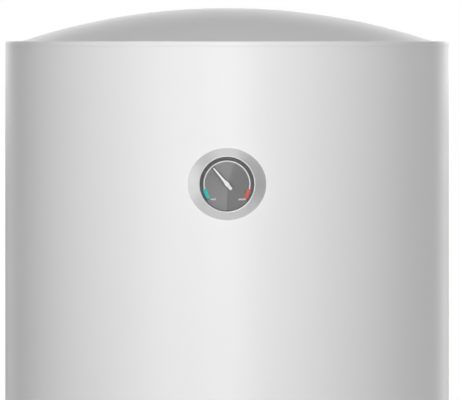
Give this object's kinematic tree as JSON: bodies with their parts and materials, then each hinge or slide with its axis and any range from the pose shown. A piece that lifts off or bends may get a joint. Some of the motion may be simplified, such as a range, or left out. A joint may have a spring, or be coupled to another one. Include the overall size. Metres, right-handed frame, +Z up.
{
  "type": "tank water heater",
  "caption": "Wall-hung round electric storage water heater with a domed cap, front thermometer, wall bracket, bottom service cover and a lever safety valve.",
  "frame": {"origin": "midway between the two wall-bolt slots, on the hanging bracket's back face, which lies on the wall", "axes": "+Z up, +Y into the wall, so the thermometer faces -Y; +X is to the right seen from the front"},
  "size_m": [0.45, 0.489, 0.6135],
  "materials": {
    "casing_white": "gloss",
    "cover_white": "satin",
    "bracket_white": "satin",
    "zinc_steel": "satin",
    "pad_rubber": "matte",
    "seal_rubber": "matte",
    "tank_enamel": "gloss",
    "flange_enamel": "satin",
    "foam": "matte",
    "element_steel": "satin",
    "sheath_steel": "satin",
    "anode_magnesium": "matte",
    "probe_steel": "satin",
    "control_plastic": "matte",
    "wire_cover": "satin",
    "gland_plastic": "satin",
    "lamp_red": "gloss",
    "nipple_steel": "satin",
    "diffuser_plastic": "satin",
    "collar_red": "satin",
    "collar_blue": "satin",
    "bezel_silver": "satin",
    "clear_lens": "gloss",
    "spacer_silver": "satin",
    "dial_grey": "satin",
    "gauge_plastic": "matte",
    "coil_bronze": "satin",
    "capillary_copper": "satin",
    "needle_white": "satin",
    "arbor_steel": "satin",
    "knob_plastic": "satin",
    "spindle_steel": "satin",
    "button_red": "satin",
    "valve_nickel": "satin",
    "valve_brass": "satin",
    "spring_steel": "polished",
    "lever_red": "satin"
  },
  "bodies": {
    "heater": {"outer_jacket": "casing_white", "top_cap": "casing_white", "bottom_cap": "casing_white", "service_cover": "cover_white", "cover_screws": "zinc_steel", "hanging_bracket": "bracket_white", "lower_spacer": "bracket_white", "spacer_pad": "pad_rubber", "tank_shell": "tank_enamel", "tank_top_end": "tank_enamel", "tank_bottom_end": "tank_enamel", "top_foam": "foam", "side_foam": "foam", "bottom_foam": "foam", "flange_neck": "tank_enamel", "flange_studs": "zinc_steel", "flange_gasket": "seal_rubber", "flange_plate": "flange_enamel", "flange_nuts": "zinc_steel", "heating_element": "element_steel", "thermostat_sheath": "sheath_steel", "anode_rod": "anode_magnesium", "anode_bolt": "zinc_steel", "thermostat_probe": "probe_steel", "thermostat_body": "control_plastic", "terminal_block": "control_plastic", "inner_wires": "wire_cover", "cable_gland": "gland_plastic", "gland_nut": "gland_plastic", "indicator_lamp": "lamp_red", "hot_nipple": "nipple_steel", "cold_nipple": "nipple_steel", "hot_riser": "nipple_steel", "cold_diffuser": "diffuser_plastic", "hot_collar": "collar_red", "cold_collar": "collar_blue", "gauge_bezel": "bezel_silver", "gauge_lens": "clear_lens", "lens_spacer": "spacer_silver", "gauge_dial": "dial_grey", "gauge_case": "gauge_plastic", "gauge_coil": "coil_bronze", "gauge_capillary": "capillary_copper", "bulb_pocket": "probe_steel", "valve_body": "valve_nickel", "relief_bonnet": "valve_nickel", "relief_spring": "spring_steel", "check_spring": "spring_steel", "check_retainer": "valve_brass", "discharge_spout": "valve_nickel"},
    "needle": {"gauge_needle": "needle_white", "needle_arbor": "arbor_steel"},
    "knob": {"temperature_knob": "knob_plastic", "thermostat_spindle": "spindle_steel"},
    "button": {"reset_button": "button_red"},
    "relief": {"relief_poppet": "valve_brass", "lever_pin": "spring_steel"},
    "lever": {"valve_lever": "lever_red"},
    "check": {"check_poppet": "valve_brass"}
  },
  "joints": [
    {"name": "needle_turn", "type": "hinge", "parent": "heater", "child": "needle", "pos_m": [0, -0.4826, -0.013], "axis": [0, 1, 0], "range_deg": [-88, 168], "stiffness_Nm_per_rad": 0.0005},
    {"name": "knob_turn", "type": "hinge", "parent": "heater", "child": "knob", "pos_m": [0, -0.295, -0.41], "axis": [0, 0, 1], "range_deg": [-135, 135]},
    {"name": "button_press", "type": "slide", "parent": "heater", "child": "button", "axis": [0, 0, 1], "range_m": [0, 0.002], "stiffness_N_per_m": 200, "springref_m": -0.002},
    {"name": "relief_lift", "type": "slide", "parent": "heater", "child": "relief", "axis": [1, 0, 0], "range_m": [0, 0.002], "deforming": ["relief_spring"]},
    {"name": "lever_turn", "type": "hinge", "parent": "relief", "child": "lever", "pos_m": [0.095, -0.14, -0.416], "axis": [0, -1, 0], "range_deg": [0, 80], "stiffness_Nm_per_rad": 0.006, "springref_deg": -28.65},
    {"name": "check_lift", "type": "slide", "parent": "heater", "child": "check", "axis": [0, 0, 1], "range_m": [0, 0.003], "stiffness_N_per_m": 100, "springref_m": -0.002, "deforming": ["check_spring"]}
  ],
  "couplings": [
    {"joint": "relief_lift", "follows": "lever_turn", "m_per_rad": 0.001432}
  ]
}
